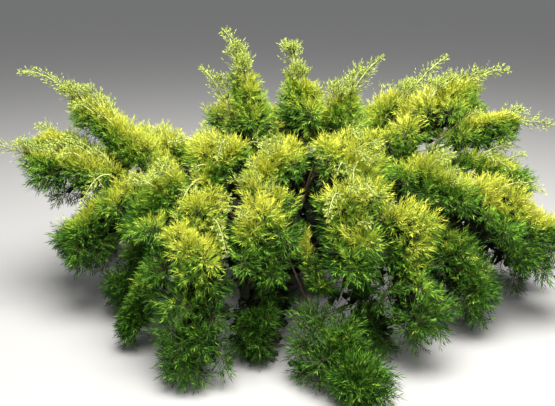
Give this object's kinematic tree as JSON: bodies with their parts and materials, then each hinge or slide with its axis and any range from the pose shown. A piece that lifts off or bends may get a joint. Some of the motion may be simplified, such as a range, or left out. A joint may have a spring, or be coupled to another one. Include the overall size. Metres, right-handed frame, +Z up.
{
  "type": "spreading conifer shrub",
  "caption": "Low, wide evergreen shrub rooted in level ground: a short flared stem, arching limbs and dense drooping plumes of golden-tipped foliage with slim shoots standing out of the top.",
  "frame": {"origin": "centre of the stem's flat cut at ground level", "axes": "+Z up; +X to the right of a person facing the side seen in the picture; -Y towards that person"},
  "size_m": [2.0314, 1.727, 0.9168],
  "materials": {
    "bark": "rough",
    "foliage": "matte"
  },
  "bodies": {
    "root": {"foliage_back_left_low": "foliage", "foliage_back_left_mid": "foliage", "foliage_back_low": "foliage", "foliage_back_mid_left": "foliage", "foliage_back_mid_right": "foliage", "foliage_back_right_low": "foliage", "foliage_back_right_mid": "foliage", "foliage_back_right_under": "foliage", "foliage_back_right_whip": "foliage", "foliage_crown_back_left": "foliage", "foliage_crown_back_right": "foliage", "foliage_crown_front": "foliage", "foliage_crown_front_left": "foliage", "foliage_crown_front_right": "foliage", "foliage_crown_left_whip": "foliage", "foliage_crown_middle_whip": "foliage", "foliage_crown_right_whip": "foliage", "foliage_crown_side_whip": "foliage", "foliage_front_ground": "foliage", "foliage_front_hump": "foliage", "foliage_front_inner": "foliage", "foliage_front_left_curtain": "foliage", "foliage_front_left_hump": "foliage", "foliage_front_left_low": "foliage", "foliage_front_left_under": "foliage", "foliage_front_right_gold": "foliage", "foliage_front_right_hump": "foliage", "foliage_front_right_under": "foliage", "foliage_front_under": "foliage", "foliage_left_back_low": "foliage", "foliage_left_back_mid": "foliage", "foliage_left_back_top": "foliage", "foliage_left_back_under": "foliage", "foliage_left_long": "foliage", "foliage_left_low": "foliage", "foliage_left_mid": "foliage", "foliage_left_under": "foliage", "foliage_left_whip": "foliage", "foliage_right_front_low": "foliage", "foliage_right_gold": "foliage", "foliage_right_inner": "foliage", "foliage_right_low": "foliage", "foliage_right_mid": "foliage", "foliage_right_upper_mid": "foliage", "foliage_right_upper_whip": "foliage", "foliage_right_whip": "foliage", "limb_back": "bark", "limb_back_left": "bark", "limb_back_right": "bark", "limb_crown_left": "bark", "limb_crown_right": "bark", "limb_front": "bark", "limb_front_left": "bark", "limb_front_right": "bark", "limb_left": "bark", "limb_left_back": "bark", "limb_right": "bark", "limb_right_front": "bark", "stem": "bark"}
  },
  "joints": []
}
